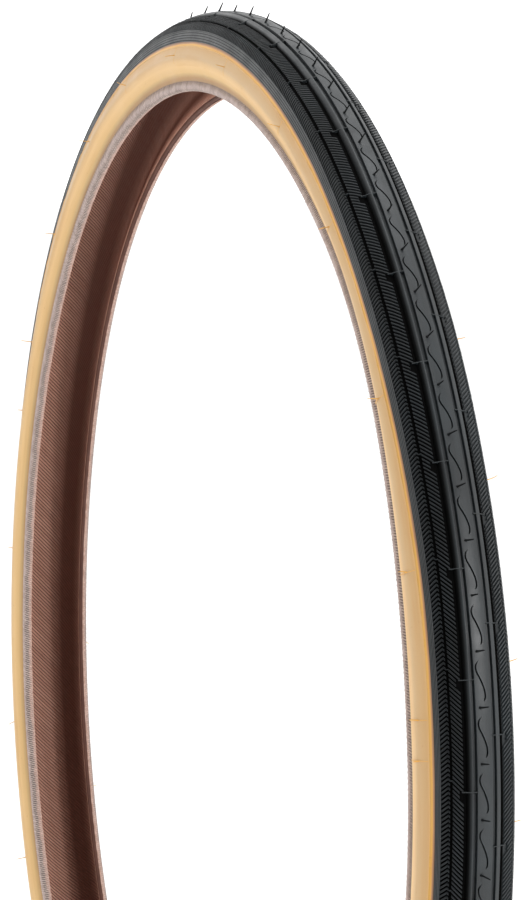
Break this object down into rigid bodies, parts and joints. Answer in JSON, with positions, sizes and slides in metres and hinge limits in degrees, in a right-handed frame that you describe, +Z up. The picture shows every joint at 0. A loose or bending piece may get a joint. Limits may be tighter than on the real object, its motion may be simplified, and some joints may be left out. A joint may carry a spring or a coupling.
{
  "type": "bicycle tire",
  "caption": "Wired-on bicycle tire off its rim, with a ribbed black street tread, gum sidewalls, fabric chafers and a bare cord casing inside.",
  "frame": {"origin": "centre of the ring, on the wheel axis and the middle plane", "axes": "+Y along the wheel axis towards the tire's left side, +Z up with the tire upright, +X in the rolling direction"},
  "size_m": [0.6642, 0.0422, 0.6642],
  "materials": {
    "tread_rubber": "satin moulded black rubber",
    "gum_rubber": "smooth satin natural gum rubber",
    "chafer_fabric": "rubberised square-woven tape",
    "casing_cord": "brown rubberised cord fabric",
    "breaker_fabric": "matte cord strip",
    "bead_steel": "bronze-coated drawn wire",
    "filler_rubber": "matte uncoloured rubber"
  },
  "bodies": {
    "root": {"tread": "tread_rubber", "breaker_strip": "breaker_fabric", "casing_ply_outer": "casing_cord", "casing_ply_inner": "casing_cord", "sidewall_left": "gum_rubber", "sidewall_right": "gum_rubber", "chafer_left": "chafer_fabric", "chafer_right": "chafer_fabric", "bead_filler_left": "filler_rubber", "bead_filler_right": "filler_rubber", "bead_wire_left": "bead_steel", "bead_wire_right": "bead_steel", "bead_sleeve_left": "bead_steel", "bead_sleeve_right": "bead_steel"}
  },
  "joints": []
}
